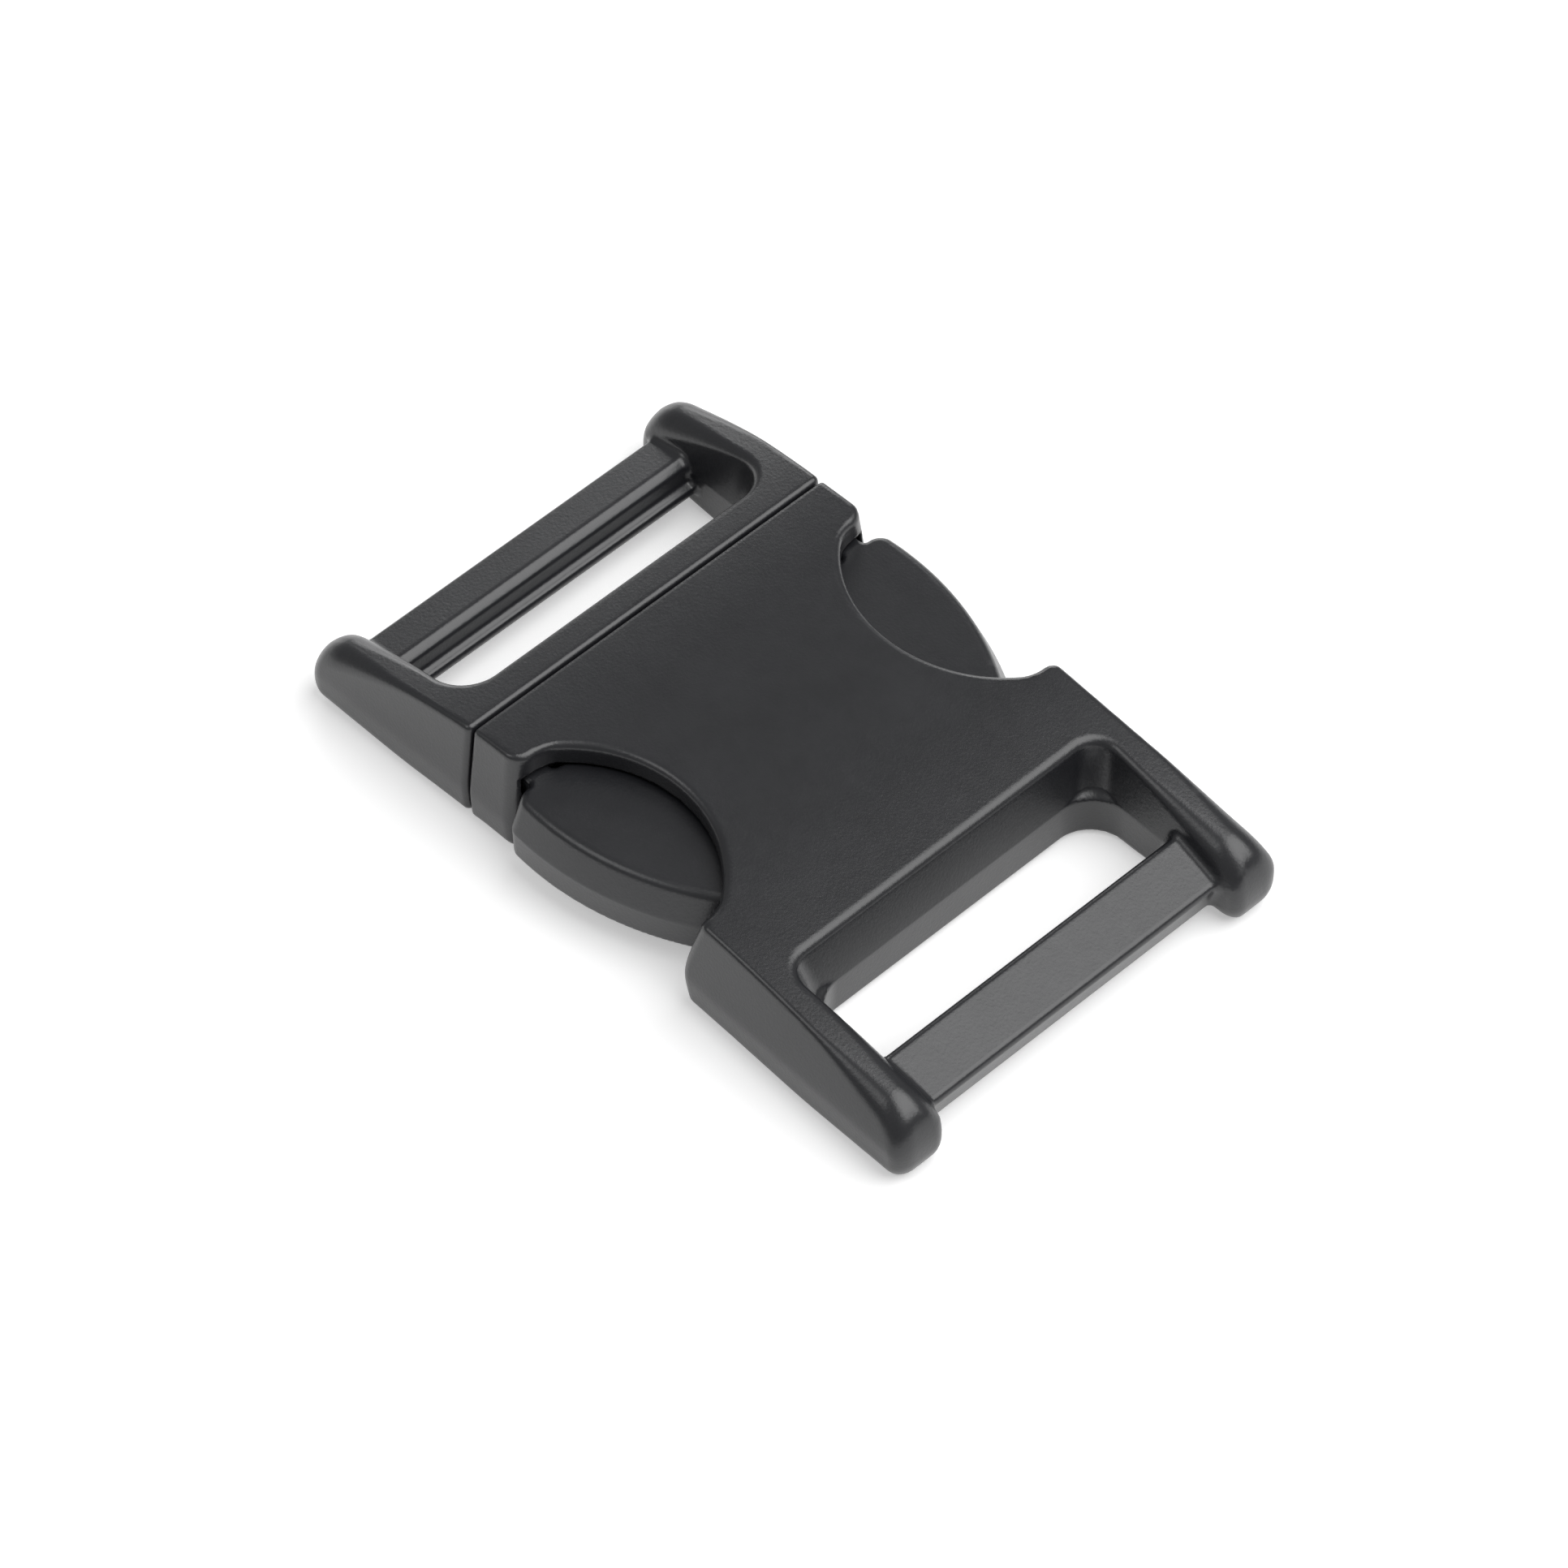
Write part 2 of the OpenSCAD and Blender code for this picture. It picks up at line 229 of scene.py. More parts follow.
def leaning_side(y, z, edge_y, upper_lean):
    """A side that leans in by upper_lean for each millimetre above the parting line."""
    return y - edge_y + fold(z - PARTING_Z, upper_lean, LOWER_LEAN, PARTING_SOFT)


def slot_opening(x, y, z, start, way, front_draft, side_draft, upper_r):
    """A webbing slot that begins at x = start and runs towards way, drafted from its crease."""
    above = np.maximum(z - SLOT_CREASE_Z, 0)
    below = SLOT_UNDER_DRAFT * np.maximum(SLOT_CREASE_Z - z, 0)
    proud = front_draft * (SLOT_MEAN_Z - SLOT_CREASE_Z)
    front = way * (start - x) + proud - front_draft * above - below
    side = y - slot_y - SLOT_EXTRA - side_draft * above - below
    corner = between(SLOT_CORNER_R, upper_r, smooth((z - SLOT_CREASE_Z) / SLOT_CORNER_FADE))
    return both(front, side, corner)


def bar(x, y, z, lo, hi, size, tilt):
    """A strap bar in the middle of its CAD box. Returns its distance and its own coordinates:
    u along its width towards +x, v through its thickness."""
    cx, cz = (lo[0] + hi[0]) / 2, (lo[2] + hi[2]) / 2
    c, s = math.cos(math.radians(tilt)), math.sin(math.radians(tilt))
    u = (x - cx) * c - (z - cz) * s
    v = (x - cx) * s + (z - cz) * c
    d = both(np.abs(u) - size[0] / 2, np.abs(v) - size[1] / 2, BAR_EDGE_R)
    return np.maximum(d, y - slot_y - BAR_SOCKET), u, v


# ------------------------------------------------------------------ the socket

SOCKET_SIDE_R = 0.35
SOCKET_SLOT_R = 0.5
SOCKET_SEAM_R = 0.22
SOCKET_SEAM_CORNER_R = 0.35
WINDOW_RIM_R = 0.6
WINDOW_FRONT_R = 0.5  # where the window's arc meets the bridge
WINDOW_REAR_R = 0.4  # where it meets the shoulder
SOCKET_OUTER_R = 1.6
SOCKET_INNER_R = 1.1
SOCKET_NOSE_R = 3.4
SOCKET_NOSE_UNDER_R = 2.0
SOCKET_UNDER_R = 0.7
SOCKET_SLOT_DRAFT = 0.2
SOCKET_SLOT_SIDE_DRAFT = 0.27
SOCKET_UPPER_R = 1.8  # the socket slot's corners above its crease
SOCKET_LEAN = 0.17
SOCKET_END_LEAN = 0.36
BRIDGE_LEAN = 0.12
BRIDGE_REAR_LEAN = 0.05
BRIDGE_CORNER_R = 1.4
SHOULDER_CORNER_R = 0.8
CAVITY_CORNER_R = 0.4
CAVITY_END_R = 0.6
CAVITY_RIM_R = 0.25
SOCKET_BAR_W = 4.7
SOCKET_BAR_T = 2.9
SOCKET_BAR_TILT = 15
SOCKET_BAR_FILLET = 0.55


def window_opening(x, y, z):
    """A side window: an arc in plan, cut off by the bridge's rear and by the shoulder."""
    shoulder = window_end + SHOULDER_SET
    shoulder = shoulder + fold(z - SHOULDER_Z, SHOULDER_LEAN, SHOULDER_UNDER_LEAN, SHOULDER_SOFT)
    arc = np.hypot(x - window_mid, y - window_y) - window_r
    bridge_end = window_x + BRIDGE_REAR_LEAN * (body_h - z)
    return both(both(arc, bridge_end - x, WINDOW_FRONT_R), x - shoulder, WINDOW_REAR_R)


def cavity_field(x, y, z):
    """The hollow that the plug slides into, open at the seam and narrower behind the windows."""
    side = cavity_y - CAVITY_TAPER * np.clip((x - window_end) / (cavity_end - window_end), 0, 2)
    section = both(y - side, np.maximum(z - cavity_hi, cavity_lo - z), CAVITY_CORNER_R)
    return both(section, x - cavity_end, CAVITY_END_R)


def socket_field(x, y, z):
    y = np.abs(y)
    front = x < window_mid
    along = np.clip((x - window_end) / (socket_end - window_end), 0, 1)
    edge_y = mouth_y + np.where(front, 0, SOCKET_STEP + SOCKET_FLARE * along)
    upper_lean = np.where(front, BRIDGE_LEAN, between(SOCKET_LEAN, SOCKET_END_LEAN, along))
    side = leaning_side(y, z, edge_y, upper_lean)
    end = x - socket_end - OVERSHOOT * EDGE_AT_END_R
    slot = -slot_opening(
        x, y, z, housing_back, 1, SOCKET_SLOT_DRAFT, SOCKET_SLOT_SIDE_DRAFT, SOCKET_UPPER_R
    )
    window = -window_opening(x, y, z)
    seam = seam_x - x

    plan = np.maximum(both(side, end, SOCKET_OUTER_R), both(slot, end, SOCKET_INNER_R))
    plan = both(plan, window, np.where(front, BRIDGE_CORNER_R, SHOULDER_CORNER_R))
    plan = both(plan, seam, SOCKET_SEAM_CORNER_R)
    profile = side_view(x, z, end, SOCKET_NOSE_R, SOCKET_NOSE_UNDER_R)

    near_end = smooth((x - (socket_end - END_ZONE)) / END_FADE)
    lower = lower_share(z)
    side_r = between(SOCKET_SIDE_R, SOCKET_UNDER_R, lower)
    slot_r = between(SOCKET_SLOT_R, LOWER_EDGE_R, lower)
    edge = shared(
        [
            (side, between(side_r, EDGE_AT_END_R, near_end)),
            (slot, between(slot_r, EDGE_AT_END_R, near_end)),
            (end, EDGE_AT_END_R),
            (window, between(WINDOW_RIM_R, LOWER_EDGE_R, lower)),
            (seam, SOCKET_SEAM_R),
        ]
    )
    body = both(plan, profile, edge)
    body = both(body, -cavity_field(x, y, z), CAVITY_RIM_R)
    size = (SOCKET_BAR_W, SOCKET_BAR_T)
    strap, _, _ = bar(x, y, z, socket_bar_lo, socket_bar_hi, size, SOCKET_BAR_TILT)
    return either(body, strap, SOCKET_BAR_FILLET)


# ------------------------------------------------------------------ the plug

PLUG_SIDE_R = 0.4
PLUG_SLOT_R = 0.5
PLUG_SEAM_R = 0.5
PLUG_UNDER_R = 0.7
PLUG_OUTER_R = 2.1
PLUG_INNER_R = 2.3
PLUG_NOSE_R = 3.4
PLUG_NOSE_UNDER_R = 2.0
PLUG_LEAN = 0.1
PLUG_SLOT_DRAFT = 0.06
PLUG_SLOT_SIDE_DRAFT = 0.22
PLUG_BAR_W = 3.8
PLUG_BAR_T = 2.8
PLUG_BAR_TILT = -10
PLUG_BAR_FILLET = 0.5
PLUG_BAR_BEVEL = 0.55
BEVEL_EDGE_R = 0.15
PLUG_BAR_FLANGE = 0.6  # how far the flange stands out past the bar
FLANGE_DROP = 1.0  # the flange's middle below the bar's
FLANGE_HALF_T = 0.4
FLANGE_EDGE_R = 0.3
TONGUE_EDGE_R = 0.4
TONGUE_ROOT = 1.0  # how deep the tongue runs into the base
TONGUE_FILLET = 0.35


def plug_strap_bar(x, y, z):
    """The plug's bar, bevelled along its upper edge towards +x, with a flange at that foot."""
    half_w, half_t = PLUG_BAR_W / 2, PLUG_BAR_T / 2
    size = (PLUG_BAR_W, PLUG_BAR_T)
    strap, u, v = bar(x, y, z, plug_bar_lo, plug_bar_hi, size, PLUG_BAR_TILT)
    bevel = (u + v) / math.sqrt(2) - (half_w + half_t - PLUG_BAR_BEVEL) / math.sqrt(2)
    strap = both(strap, bevel, BEVEL_EDGE_R)
    flange_w = np.abs(u - PLUG_BAR_FLANGE / 2) - half_w - PLUG_BAR_FLANGE / 2
    flange = both(flange_w, np.abs(v + FLANGE_DROP) - FLANGE_HALF_T, FLANGE_EDGE_R)
    return either(strap, np.maximum(flange, y - slot_y - BAR_SOCKET), PLUG_BAR_FILLET)


def tongue_field(x, y, z):
    """The centre tongue, round-ended in plan."""
    half_w = (tongue_hi[1] - tongue_lo[1]) / 2
    tip = tongue_hi[0] - half_w
    tongue = np.hypot(np.maximum(x - tip, 0), y) - half_w
    tongue = both(tongue, np.maximum(z - tongue_hi[2], tongue_lo[2] - z), TONGUE_EDGE_R)
    return np.maximum(tongue, base_front - TONGUE_ROOT - x)


def plug_field(x, y, z):
    y = np.abs(y)
    edge_y = mouth_y + PLUG_FLARE * (base_front - x) / (base_front - plug_end)
    side = leaning_side(y, z, edge_y, PLUG_LEAN)
    end = plug_end - OVERSHOOT * EDGE_AT_END_R - x
    slot = -slot_opening(
        x, y, z, base_back, -1, PLUG_SLOT_DRAFT, PLUG_SLOT_SIDE_DRAFT, SLOT_CORNER_R
    )
    seam = x - base_front

    plan = np.maximum(both(side, end, PLUG_OUTER_R), both(slot, end, PLUG_INNER_R))
    plan = both(plan, seam, PLUG_SEAM_R)
    profile = side_view(x, z, end, PLUG_NOSE_R, PLUG_NOSE_UNDER_R)

    near_end = smooth((plug_end + END_ZONE - x) / END_FADE)
    lower = lower_share(z)
    side_r = between(PLUG_SIDE_R, PLUG_UNDER_R, lower)
    slot_r = between(PLUG_SLOT_R, LOWER_EDGE_R, lower)
    edge = shared(
        [
            (side, between(side_r, EDGE_AT_END_R, near_end)),
            (slot, between(slot_r, EDGE_AT_END_R, near_end)),
            (end, EDGE_AT_END_R),
            (seam, PLUG_SEAM_R),
        ]
    )
    body = both(plan, profile, edge)
    body = either(body, plug_strap_bar(x, y, z), PLUG_BAR_FILLET)
    return either(body, tongue_field(x, y, z), TONGUE_FILLET)


# ------------------------------------------------------------------ the arms

ARM_UNDER_R = 0.2
SHANK_TOP_R = 0.3
LOBE_TOP_EXTRA = 0.15  # the lobe's upper edge is rounder than the shank's by this
EDGE_FADE = 1.0  # the edges' radius changes over this length, and in height over twice it
FACE_SCALE = 0.95  # the lean steepens the face's field, and this brings it back
LOBE_FRONT_R = 1.0
LOBE_INNER_R = 0.5
LOBE_WAIST = 1.1  # how far outside the lobe's innermost line its inner side stands at the waist
LOBE_HEEL = 0.2  # and at the heel
LOBE_BELLY = 3.0  # the innermost point, behind the window's middle
LOBE_LEDGE = 0.5  # how far the lobe runs on under the window's rim
ROOT_DEPTH = 0.8  # how deep the shank runs into the plug's base
ROOT_FLARE = 0.35
ROOT_FLARE_LEN = 1.6
ROOT_FLARE_MAX = 0.9
SHANK_OVERLAP = 2.0  # how deep the shank runs into the lobe
SHANK_FILLET = 0.4


def lobe_plan(x, y, lean):
    """The lobe that fingers press: a bulging outer face, a blunt front and a hollow inner side."""
    face = FACE_SCALE * (np.hypot(x - lobe_x, y - lobe_y) - LOBE_R + lean)
    neck = (shoulder_x, shank_y - SHANK_T / 2)
    waist = ((shoulder_x + window_mid) / 2, arm_lo[1] + LOBE_WAIST)
    belly = (window_mid + LOBE_BELLY, arm_lo[1])
    heel = (arm_hi[0] - TIP_R, arm_lo[1] + LOBE_HEEL)
    inner = both(half_plane(x, y, neck, waist), half_plane(x, y, waist, belly), LOBE_INNER_R)
    inner = np.maximum(inner, half_plane(x, y, belly, heel))
    ledge = np.hypot(x - window_mid, y - window_y) - window_r - LOBE_LEDGE
    inner = np.minimum(inner, ledge)
    plan = both(face, shoulder_x - x, LOBE_FRONT_R)
    plan = both(plan, inner, LOBE_INNER_R)
    return both(plan, x - arm_hi[0], TIP_R)


def shank_plan(x, y):
    """The springing shank from the plug's base to the lobe, thicker inwards at its root."""
    flare = ROOT_FLARE * np.maximum(base_front + ROOT_FLARE_LEN - x, 0) ** 2
    shank_in = shank_y - SHANK_T / 2 - np.minimum(flare, ROOT_FLARE_MAX)
    shank = np.maximum(y - shank_y - SHANK_T / 2, shank_in - y)
    ends = np.maximum(base_front - ROOT_DEPTH - x, x - shoulder_x - SHANK_OVERLAP)
    return np.maximum(shank, ends)


def arm_field(x, y, z):
    mid_z = (arm_lo[2] + arm_hi[2]) / 2
    half_h = (arm_hi[2] - arm_lo[2]) / 2
    lean = LOBE_LEAN * np.maximum(z - mid_z, 0) / half_h
    lean = lean + LOBE_UNDER_LEAN * np.maximum(mid_z - z, 0) / half_h
    lids = np.maximum(z - arm_hi[2], arm_lo[2] - z)
    plan = either(lobe_plan(x, y, lean), shank_plan(x, y), SHANK_FILLET)
    top_r = SHANK_TOP_R + LOBE_TOP_EXTRA * smooth(x - shoulder_x + EDGE_FADE)
    edge = between(ARM_UNDER_R, top_r, smooth((z - mid_z + EDGE_FADE) / (2 * EDGE_FADE)))
    return both(plan, lids, edge)


# ------------------------------------------------------------------ from field to mesh

CORNERS = [(i, j, k) for i in (0, 1) for j in (0, 1) for k in (0, 1)]
CELL_EDGES = [
    (a, b)
    for a in range(8)
    for b in range(a + 1, 8)
    if sum(p != q for p, q in zip(CORNERS[a], CORNERS[b])) == 1
]
SURFACE_STEPS = 5  # times that each point is moved towards the surface
SURFACE_SLOPE_STEP = 0.01
LEAST_SLOPE = 0.2  # squared, so that no point is thrown far where the field is flat
NORMAL_STEP = 0.07


def slope(field, points, step):
    """The field's gradient at each point, from central differences."""
    out = np.empty_like(points)
    for i in range(3):
        shift = np.zeros(3)
        shift[i] = step
        out[:, i] = field(*(points + shift).T) - field(*(points - shift).T)
    return out / (2 * step)


def polygonise(field, lo, hi, step):
    """One point in each cell that the surface crosses, and one quad around each lattice edge
    that it crosses. The points then move onto the surface."""
    axes = [np.arange(a - 2 * step, b + 3 * step, step) for a, b in zip(lo, hi)]
    values = field(*np.meshgrid(*axes, indexing="ij", sparse=True))
    inside = values < 0
    shape = [n - 1 for n in values.shape]

    def corner(a, c):
        return a[tuple(slice(o, o + n) for o, n in zip(c, shape))]

    count = sum(corner(inside, c).astype(np.int8) for c in CORNERS)
    crossed = np.nonzero((count > 0) & (count < 8))
    number = np.full(shape, -1, np.int64)
    number[crossed] = np.arange(len(crossed[0]))

    at = [corner(values, c)[crossed] for c in CORNERS]
    total, hits = np.zeros((len(crossed[0]), 3)), np.zeros(len(crossed[0]))
    for a, b in CELL_EDGES:
        hit = (at[a] < 0) != (at[b] < 0)
        t = at[a] / np.where(hit, at[a] - at[b], 1)
        place = np.array(CORNERS[a]) + t[:, None] * (np.array(CORNERS[b]) - np.array(CORNERS[a]))
        total += np.where(hit[:, None], place, 0)
        hits += hit
    start = np.array([a[0] for a in axes])
    points = start + step * (np.stack(crossed, 1) + total / hits[:, None])

    quads = []
    for axis in range(3):
        low = [slice(None)] * 3
        high = [slice(None)] * 3
        low[axis], high[axis] = slice(0, -1), slice(1, None)
        a, b = inside[tuple(low)], inside[tuple(high)]
        for entering in (False, True):
            edge = np.stack(np.nonzero((a != b) & (b == entering)), 1)
            first, second = [i for i in range(3) if i != axis]
            ring = []
            for di, dj in ((1, 1), (0, 1), (0, 0), (1, 0)):
                cell = edge.copy()
                cell[:, first] -= di
                cell[:, second] -= dj
                ring.append(number[tuple(cell.T)])
            quad = np.stack(ring, 1)
            if entering != (axis == 1):
                quad = quad[:, ::-1]
            quads.append(quad)
    quads = np.concatenate(quads)

    for _ in range(SURFACE_STEPS):
        g = slope(field, points, SURFACE_SLOPE_STEP)
        move = field(*points.T)[:, None] * g / np.maximum((g * g).sum(1), LEAST_SLOPE)[:, None]
        points -= np.clip(move, -step, step)
    return points, quads


def make_piece(name, field, lo, hi, step, mirror=False):
    """A mesh object of the field inside the box from lo to hi, mirrored in y if asked for."""
    points, quads = polygonise(field, lo, hi, step)
    normals = slope(field, points, NORMAL_STEP)
    normals /= np.linalg.norm(normals, axis=1)[:, None]
    if mirror:
        points[:, 1] *= -1
        normals[:, 1] *= -1
        quads = quads[:, ::-1]
    mesh = bpy.data.meshes.new(name)
    mesh.from_pydata((points / MM).tolist(), [], quads.tolist())
    mesh.validate()
    mesh.shade_smooth()
    mesh.normals_split_custom_set_from_vertices(normals.tolist())
    piece = bpy.data.objects.new(name, mesh)
    bpy.context.scene.collection.objects.link(piece)
    return piece


SOCKET_CELL = 0.27
PLUG_CELL = 0.23
ARM_CELL = 0.2
SIDE_MARGIN = 0.2
socket_lo = (seam_x, -socket_rail_hi[1] - SIDE_MARGIN, 0)
socket_hi = (socket_end, socket_rail_hi[1] + SIDE_MARGIN, body_h)
plug_lo = (plug_end, -plug_rail_hi[1] - SIDE_MARGIN, 0)
plug_hi = (tongue_hi[0], plug_rail_hi[1] + SIDE_MARGIN, body_h)
lobe_lo = (arm_lo[0], arm_lo[1] - LOBE_LEDGE, arm_lo[2])

socket_shell = make_piece("socket_shell", socket_field, socket_lo, socket_hi, SOCKET_CELL)
plug_frame = make_piece("plug_frame", plug_field, plug_lo, plug_hi, PLUG_CELL)
left_arm = make_piece("left_arm_moulding", arm_field, lobe_lo, arm_hi, ARM_CELL)
right_arm = make_piece("right_arm_moulding", arm_field, lobe_lo, arm_hi, ARM_CELL, mirror=True)


# ------------------------------------------------------------------ material


DARK = (0.0112, 0.0116, 0.0136, 1)
LIGHT = (0.0162, 0.0167, 0.0192, 1)
# painted highlight: the lighter colour that the convex edges take on, standing in for their shine
EDGE_HIGHLIGHT = (0.05, 0.051, 0.053, 1)


def add(tree, kind, **inputs):
    """A new node, with each value put into the input of that name or else the setting."""
    node = tree.nodes.new(kind)
    for key, value in inputs.items():
        if key in node.inputs:
            node.inputs[key].default_value = value
        else:
            setattr(node, key, value)
    return node


def moulded_plastic():
    """Matt black plastic: spark-eroded grain, faint flow mottling and a painted highlight, lighter in
    patches, along the convex edges.
    """
    mat = bpy.data.materials.new("moulded_plastic")
    mat.use_nodes = True
    tree = mat.node_tree
    shader = tree.nodes["Principled BSDF"]
    shader.inputs["IOR"].default_value = 1.6
    place = add(tree, "ShaderNodeTexCoord")
    where = place.outputs["Object"]

    mottle = add(tree, "ShaderNodeTexNoise", Scale=160.0, Detail=4.0, Roughness=0.6)
    grain = add(tree, "ShaderNodeTexNoise", Scale=5200.0, Detail=3.0, Roughness=0.65)
    pits = add(tree, "ShaderNodeTexVoronoi", Scale=3600.0)
    scuff_and_highlight_noise = add(tree, "ShaderNodeTexNoise", Scale=900.0, Detail=5.0, Roughness=0.7)
    for node in (mottle, grain, pits, scuff_and_highlight_noise):
        tree.links.new(where, node.inputs["Vector"])

    tint = add(tree, "ShaderNodeValToRGB")
    tint.color_ramp.elements[0].position = 0.3
    tint.color_ramp.elements[0].color = DARK
    tint.color_ramp.elements[1].position = 0.7
    tint.color_ramp.elements[1].color = LIGHT
    tree.links.new(mottle.outputs["Fac"], tint.inputs["Fac"])

    # painted highlight: convex edges, found by pointiness, turn towards the lighter edge colour in
    # patches of the scuff noise
    geometry = add(tree, "ShaderNodeNewGeometry")
    edge_highlight_mask = add(tree, "ShaderNodeMapRange")
    edge_highlight_mask.inputs["From Min"].default_value = 0.53
    edge_highlight_mask.inputs["From Max"].default_value = 0.62
    edge_highlight_mask.inputs["To Max"].default_value = 0.6
    tree.links.new(geometry.outputs["Pointiness"], edge_highlight_mask.inputs["Value"])
    patchy_highlight = add(tree, "ShaderNodeMath", operation="MULTIPLY")
    tree.links.new(edge_highlight_mask.outputs["Result"], patchy_highlight.inputs[0])
    tree.links.new(scuff_and_highlight_noise.outputs["Fac"], patchy_highlight.inputs[1])
    colour = add(tree, "ShaderNodeMix", data_type="RGBA")
    rgba = [s for s in colour.inputs if s.type == "RGBA"]
    rgba[1].default_value = EDGE_HIGHLIGHT
    tree.links.new(patchy_highlight.outputs[0], colour.inputs["Factor"])
    tree.links.new(tint.outputs["Color"], rgba[0])
    result = [s for s in colour.outputs if s.type == "RGBA"][0]
    tree.links.new(result, shader.inputs["Base Color"])

    rough = add(tree, "ShaderNodeMapRange")
    rough.inputs["To Min"].default_value = 0.25
    rough.inputs["To Max"].default_value = 0.35
    tree.links.new(scuff_and_highlight_noise.outputs["Fac"], rough.inputs["Value"])
    tree.links.new(rough.outputs["Result"], shader.inputs["Roughness"])

    height = add(tree, "ShaderNodeMath", operation="MULTIPLY_ADD")
    tree.links.new(pits.outputs["Distance"], height.inputs[0])
    height.inputs[1].default_value = 0.4
    tree.links.new(grain.outputs["Fac"], height.inputs[2])
    bump = add(tree, "ShaderNodeBump", Strength=0.35, Distance=0.00003)
    tree.links.new(height.outputs[0], bump.inputs["Height"])
    tree.links.new(bump.outputs["Normal"], shader.inputs["Normal"])
    return mat


plastic = moulded_plastic()
for piece in (socket_shell, plug_frame, left_arm, right_arm):
    piece.data.materials.append(plastic)
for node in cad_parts.values():
    node.data.materials.clear()
    node.data.materials.append(plastic)

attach(socket_shell, "socket")
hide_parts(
    "socket_housing", "socket_left_rail", "socket_right_rail", "socket_strap_bar"
)
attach(plug_frame, "plug")
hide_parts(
    "plug_base", "plug_left_rail", "plug_right_rail", "plug_strap_bar", "guide_tongue"
)
for piece, side, body in ((left_arm, 1, "left_arm"), (right_arm, -1, "right_arm")):
    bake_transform(piece)
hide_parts("left_release_arm")
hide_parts("right_release_arm")


# ------------------------------------------------------------------ floor, lights, camera

FLOOR_HALF = 2.0  # in metres
PAPER = (0.8, 0.8, 0.8, 1)
WHITE = (1, 1, 1, 1)
FLOOR_GLOW = 0.38
WORLD_STRENGTH = 0.28


def floor_paper():
    """White paper. What the camera sees of it, straight, mirrored or through something, is
    lifted by a glow that casts no light on the object's matt faces."""
    mat = bpy.data.materials.new("floor_paper")
    mat.use_nodes = True
    tree = mat.node_tree
    surface = tree.nodes["Principled BSDF"]
    surface.inputs["Base Color"].default_value = PAPER
    surface.inputs["Roughness"].default_value = 0.9
    surface.inputs["Specular IOR Level"].default_value = 0.1
    glow = add(tree, "ShaderNodeEmission", Color=WHITE)
    path = add(tree, "ShaderNodeLightPath")
    seen = add(tree, "ShaderNodeMath", operation="MAXIMUM")
    tree.links.new(path.outputs["Is Camera Ray"], seen.inputs[0])
    tree.links.new(path.outputs["Is Glossy Ray"], seen.inputs[1])
    seen_too = add(tree, "ShaderNodeMath", operation="MAXIMUM")
    tree.links.new(seen.outputs[0], seen_too.inputs[0])
    tree.links.new(path.outputs["Is Transmission Ray"], seen_too.inputs[1])
    level = add(tree, "ShaderNodeMath", operation="MULTIPLY")
    level.inputs[1].default_value = FLOOR_GLOW
    tree.links.new(seen_too.outputs[0], level.inputs[0])
    tree.links.new(level.outputs[0], glow.inputs["Strength"])
    together = add(tree, "ShaderNodeAddShader")
    tree.links.new(surface.outputs[0], together.inputs[0])
    tree.links.new(glow.outputs[0], together.inputs[1])
    tree.links.new(together.outputs[0], tree.nodes["Material Output"].inputs["Surface"])
    return mat


floor_mesh = bpy.data.meshes.new("floor")
corners = [(-FLOOR_HALF, -FLOOR_HALF, 0), (FLOOR_HALF, -FLOOR_HALF, 0)]
corners += [(FLOOR_HALF, FLOOR_HALF, 0), (-FLOOR_HALF, FLOOR_HALF, 0)]
floor_mesh.from_pydata(corners, [], [(0, 1, 2, 3)])
floor = bpy.data.objects.new("floor", floor_mesh)
bpy.context.scene.collection.objects.link(floor)
floor_mesh.materials.append(floor_paper())

world = bpy.data.worlds.new("studio")
world.use_nodes = True
world.node_tree.nodes["Background"].inputs["Color"].default_value = WHITE
world.node_tree.nodes["Background"].inputs["Strength"].default_value = WORLD_STRENGTH
bpy.context.scene.world = world


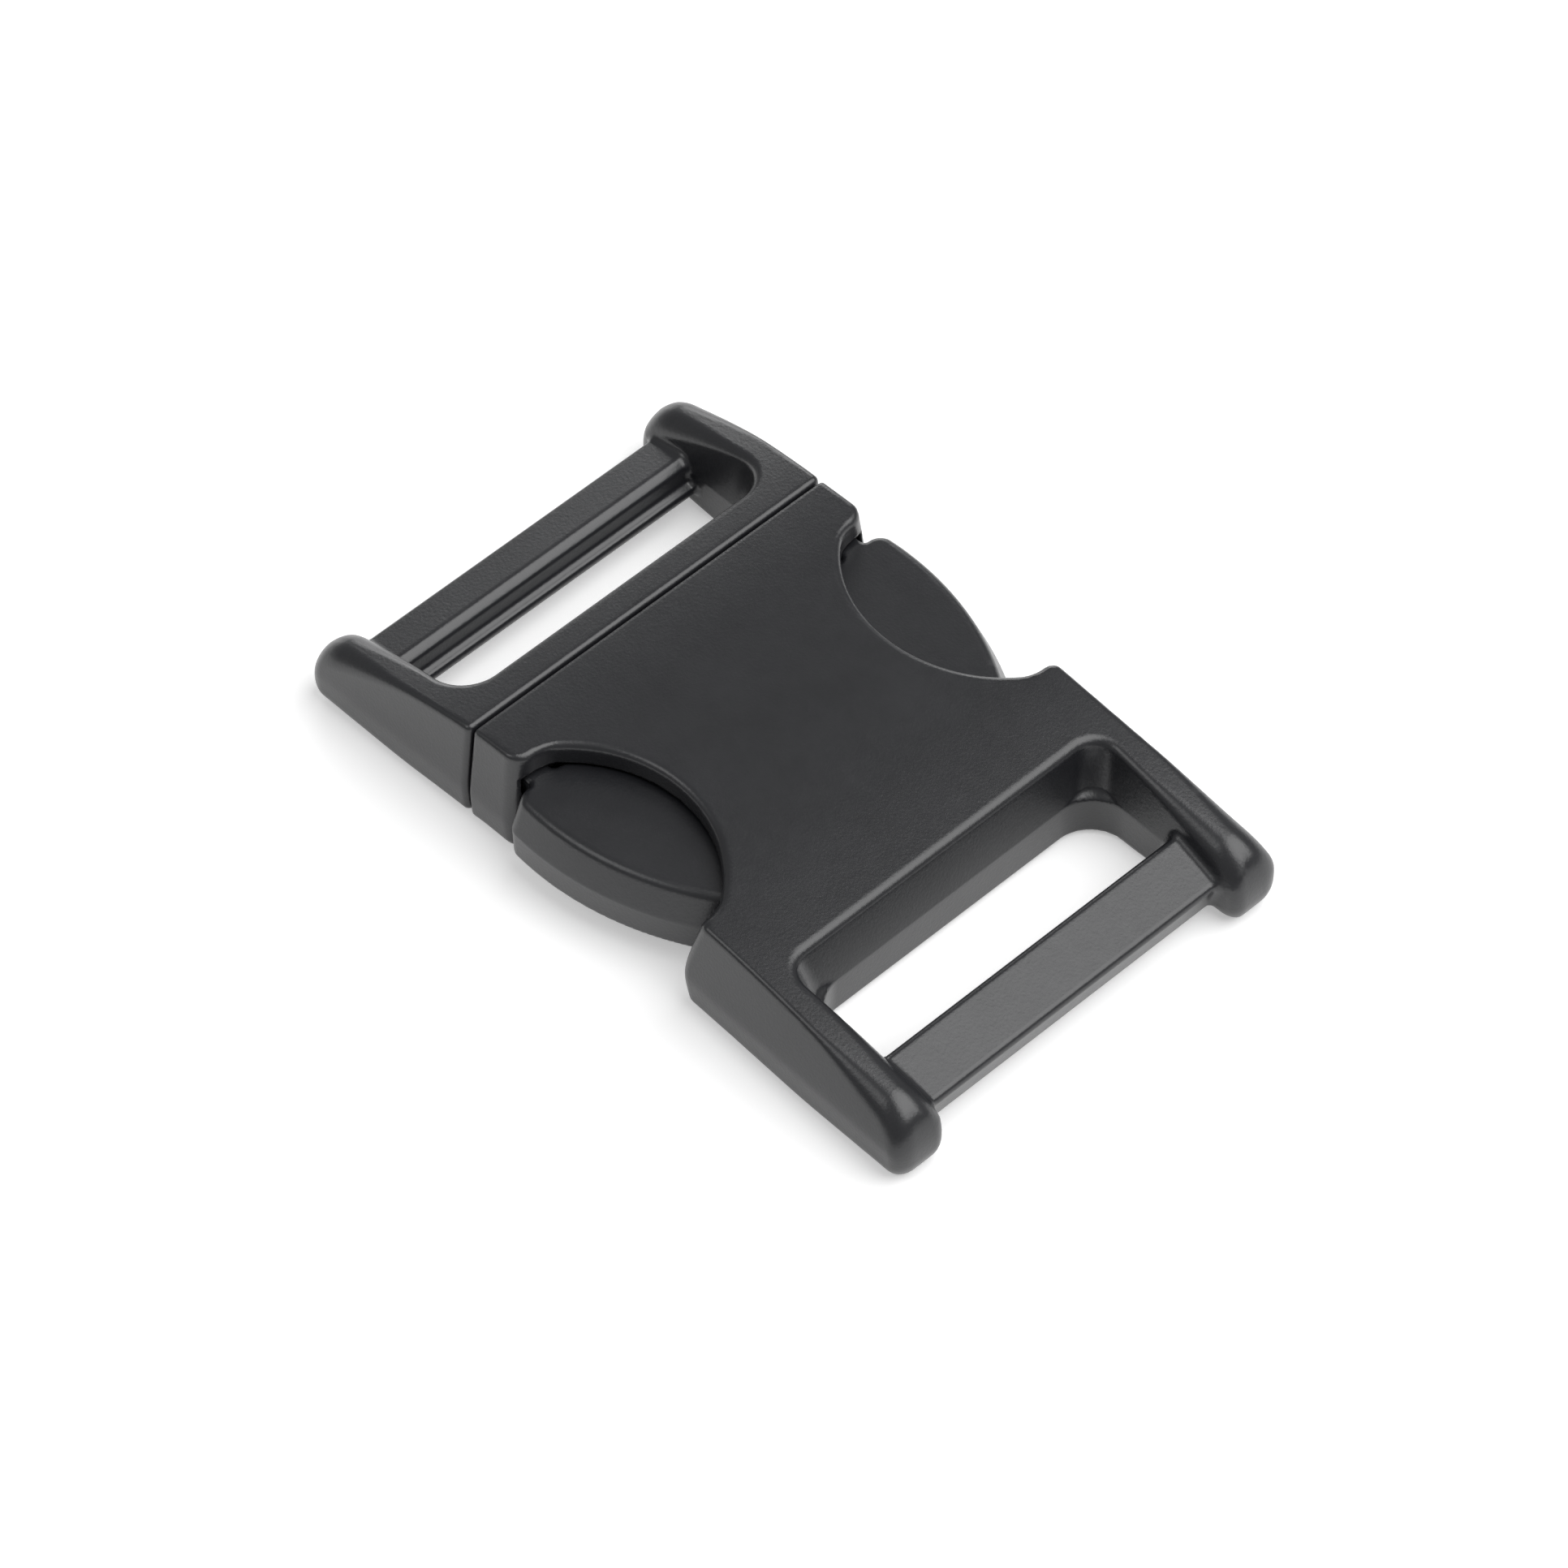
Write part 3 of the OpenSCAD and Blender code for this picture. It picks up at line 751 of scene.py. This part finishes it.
def direction(azimuth, elevation):
    """Unit vector from the object towards a place seen at these angles, in degrees."""
    a, e = math.radians(azimuth), math.radians(elevation)
    return Vector((math.sin(a) * math.cos(e), -math.cos(a) * math.cos(e), math.sin(e)))


def softbox(name, azimuth, elevation, distance, across, radiance):
    """A round soft area light that faces the object and shows at that radiance."""
    data = bpy.data.lights.new(name, "AREA")
    data.shape = "DISK"
    data.size = across
    data.energy = radiance * math.pi * math.pi * (across / 2) ** 2
    light = bpy.data.objects.new(name, data)
    toward = direction(azimuth, elevation)
    light.location = toward * distance
    light.rotation_mode = "QUATERNION"
    light.rotation_quaternion = toward.to_track_quat("Z", "Y")
    bpy.context.scene.collection.objects.link(light)


CAMERA_AZIMUTH = 46.15
CAMERA_ELEVATION = 50.3
softbox("key", azimuth=CAMERA_AZIMUTH + 81, elevation=60, distance=0.9, across=1.04, radiance=3.2)
softbox("front_fill", azimuth=CAMERA_AZIMUTH - 70, elevation=50, distance=1.0, across=0.5, radiance=2.0)
softbox("back_rim", azimuth=CAMERA_AZIMUTH + 180, elevation=18, distance=1.0, across=0.5, radiance=3.0)

CAMERA_DISTANCE = 0.6
LENS = 202.7
AIM = Vector((-0.0004, 0.0, 0.0043))  # the camera looks at this point, in metres
ASIDE, ABOVE = 0.0002, -0.0021  # after moving this far to its own right and up
camera_data = bpy.data.cameras.new("camera")
camera_data.lens = LENS
camera_data.sensor_width = 36.0
camera_data.clip_start, camera_data.clip_end = 0.01, 10.0
camera = bpy.data.objects.new("camera", camera_data)
back = direction(CAMERA_AZIMUTH, CAMERA_ELEVATION)
right = Vector((math.cos(math.radians(CAMERA_AZIMUTH)), math.sin(math.radians(CAMERA_AZIMUTH)), 0))
up = back.cross(right)
camera.location = AIM + right * ASIDE + up * ABOVE + back * CAMERA_DISTANCE
camera.rotation_mode = "QUATERNION"
camera.rotation_quaternion = (-back).to_track_quat("-Z", "Y")
bpy.context.scene.collection.objects.link(camera)
bpy.context.scene.camera = camera

bpy.context.scene.view_settings.view_transform = "Standard"
